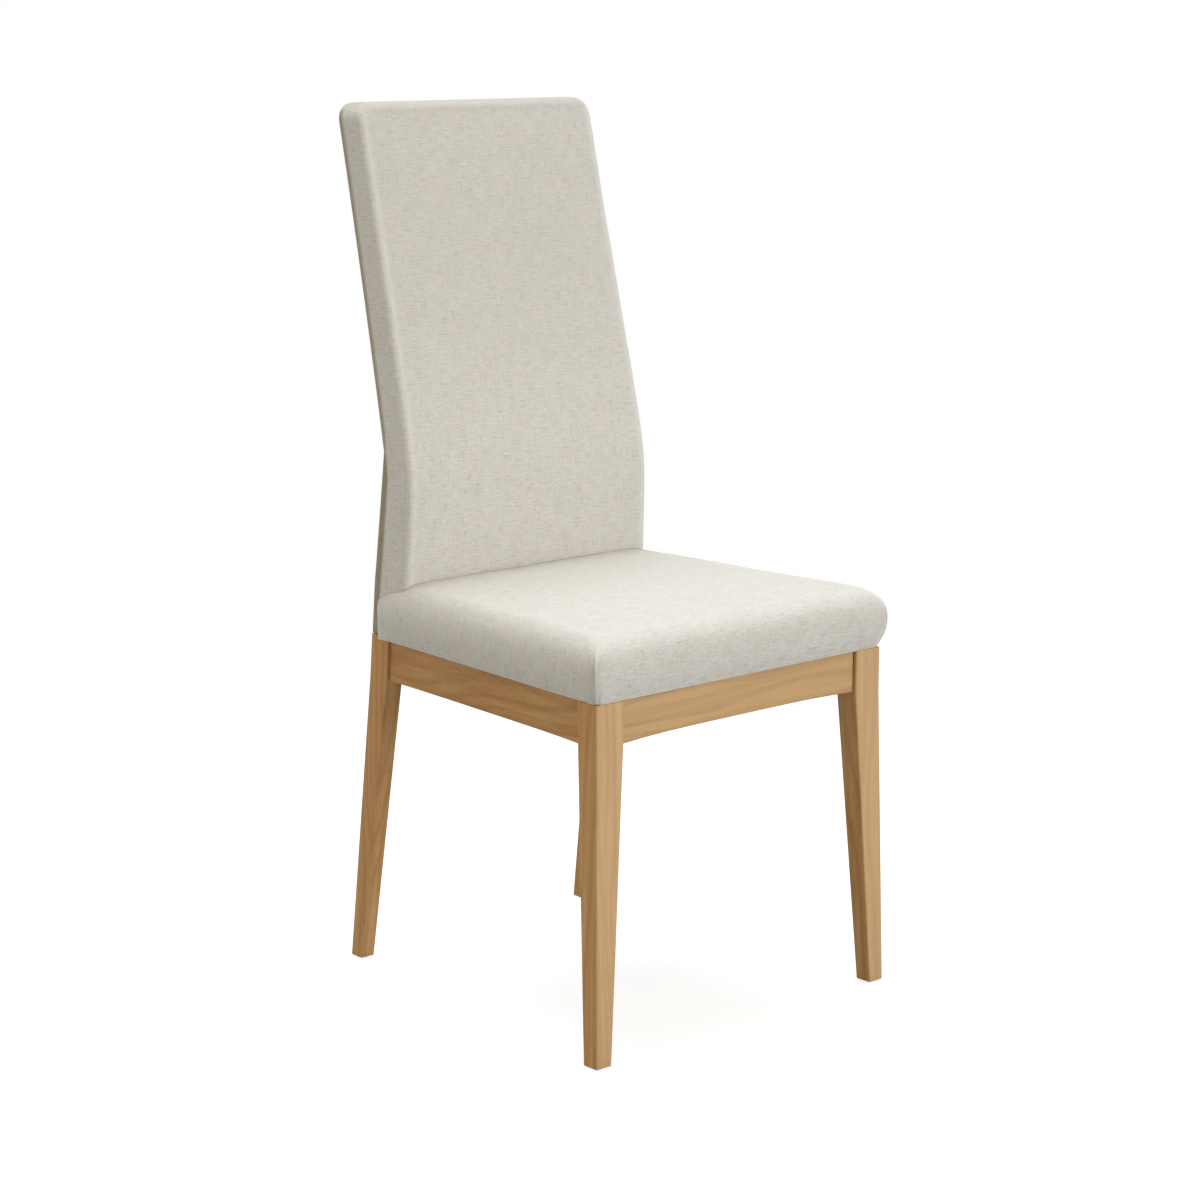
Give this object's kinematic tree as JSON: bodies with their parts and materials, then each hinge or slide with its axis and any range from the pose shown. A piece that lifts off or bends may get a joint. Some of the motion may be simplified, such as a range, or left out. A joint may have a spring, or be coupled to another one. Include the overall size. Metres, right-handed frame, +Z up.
{
  "type": "upholstered high-back dining chair",
  "caption": "High-back dining chair with tapered oak legs, a padded seat and a padded back that bends at the lumbar, all in pale heathered cloth.",
  "frame": {"origin": "on the floor, under the centre of the chair's overall box", "axes": "+Z up from the floor; the chair faces -Y; +X is the sitter's left"},
  "size_m": [0.4678, 0.5193, 1.046],
  "materials": {
    "oiled_oak": "clear satin oil over planed oak, grain along each piece",
    "beech": "bare planed beech",
    "birch_plywood": "bare birch plywood",
    "fibreboard": "thin hard fibreboard",
    "woven_upholstery": "matt heathered plain weave with short slubs",
    "cut_foam": "cut polyurethane foam, open cells",
    "black_dust_cloth": "thin spun dust cloth",
    "zinc_plated_steel": "bright zinc plate",
    "brown_nylon": "moulded nylon"
  },
  "bodies": {
    "root": {"back_board": "birch_plywood", "back_cover": "woven_upholstery", "back_foam": "cut_foam", "back_lower_rail": "beech", "back_middle_rail": "beech", "back_top_rail": "beech", "block_screw_front_left_across": "zinc_plated_steel", "block_screw_front_left_along": "zinc_plated_steel", "block_screw_front_right_across": "zinc_plated_steel", "block_screw_front_right_along": "zinc_plated_steel", "block_screw_rear_left_across": "zinc_plated_steel", "block_screw_rear_left_along": "zinc_plated_steel", "block_screw_rear_right_across": "zinc_plated_steel", "block_screw_rear_right_along": "zinc_plated_steel", "corner_block_front_left": "beech", "corner_block_front_right": "beech", "corner_block_rear_left": "beech", "corner_block_rear_right": "beech", "dowel_front_lower_left": "beech", "dowel_front_lower_right": "beech", "dowel_front_upper_left": "beech", "dowel_front_upper_right": "beech", "dowel_rear_lower_left": "beech", "dowel_rear_lower_right": "beech", "dowel_rear_upper_left": "beech", "dowel_rear_upper_right": "beech", "dowel_side_front_lower_left": "beech", "dowel_side_front_lower_right": "beech", "dowel_side_front_upper_left": "beech", "dowel_side_front_upper_right": "beech", "dowel_side_rear_lower_left": "beech", "dowel_side_rear_lower_right": "beech", "dowel_side_rear_upper_left": "beech", "dowel_side_rear_upper_right": "beech", "dust_cover": "black_dust_cloth", "front_apron": "oiled_oak", "front_leg_left": "oiled_oak", "front_leg_right": "oiled_oak", "glide_front_left": "brown_nylon", "glide_front_right": "brown_nylon", "glide_rear_left": "brown_nylon", "glide_rear_right": "brown_nylon", "outside_back_board": "fibreboard", "outside_back_cover": "woven_upholstery", "rear_apron": "oiled_oak", "rear_post_left": "oiled_oak", "rear_post_right": "oiled_oak", "seat_board": "birch_plywood", "seat_cover": "woven_upholstery", "seat_foam": "cut_foam", "seat_screw_front_left": "zinc_plated_steel", "seat_screw_front_right": "zinc_plated_steel", "seat_screw_rear_left": "zinc_plated_steel", "seat_screw_rear_right": "zinc_plated_steel", "side_apron_left": "oiled_oak", "side_apron_right": "oiled_oak"}
  },
  "joints": []
}
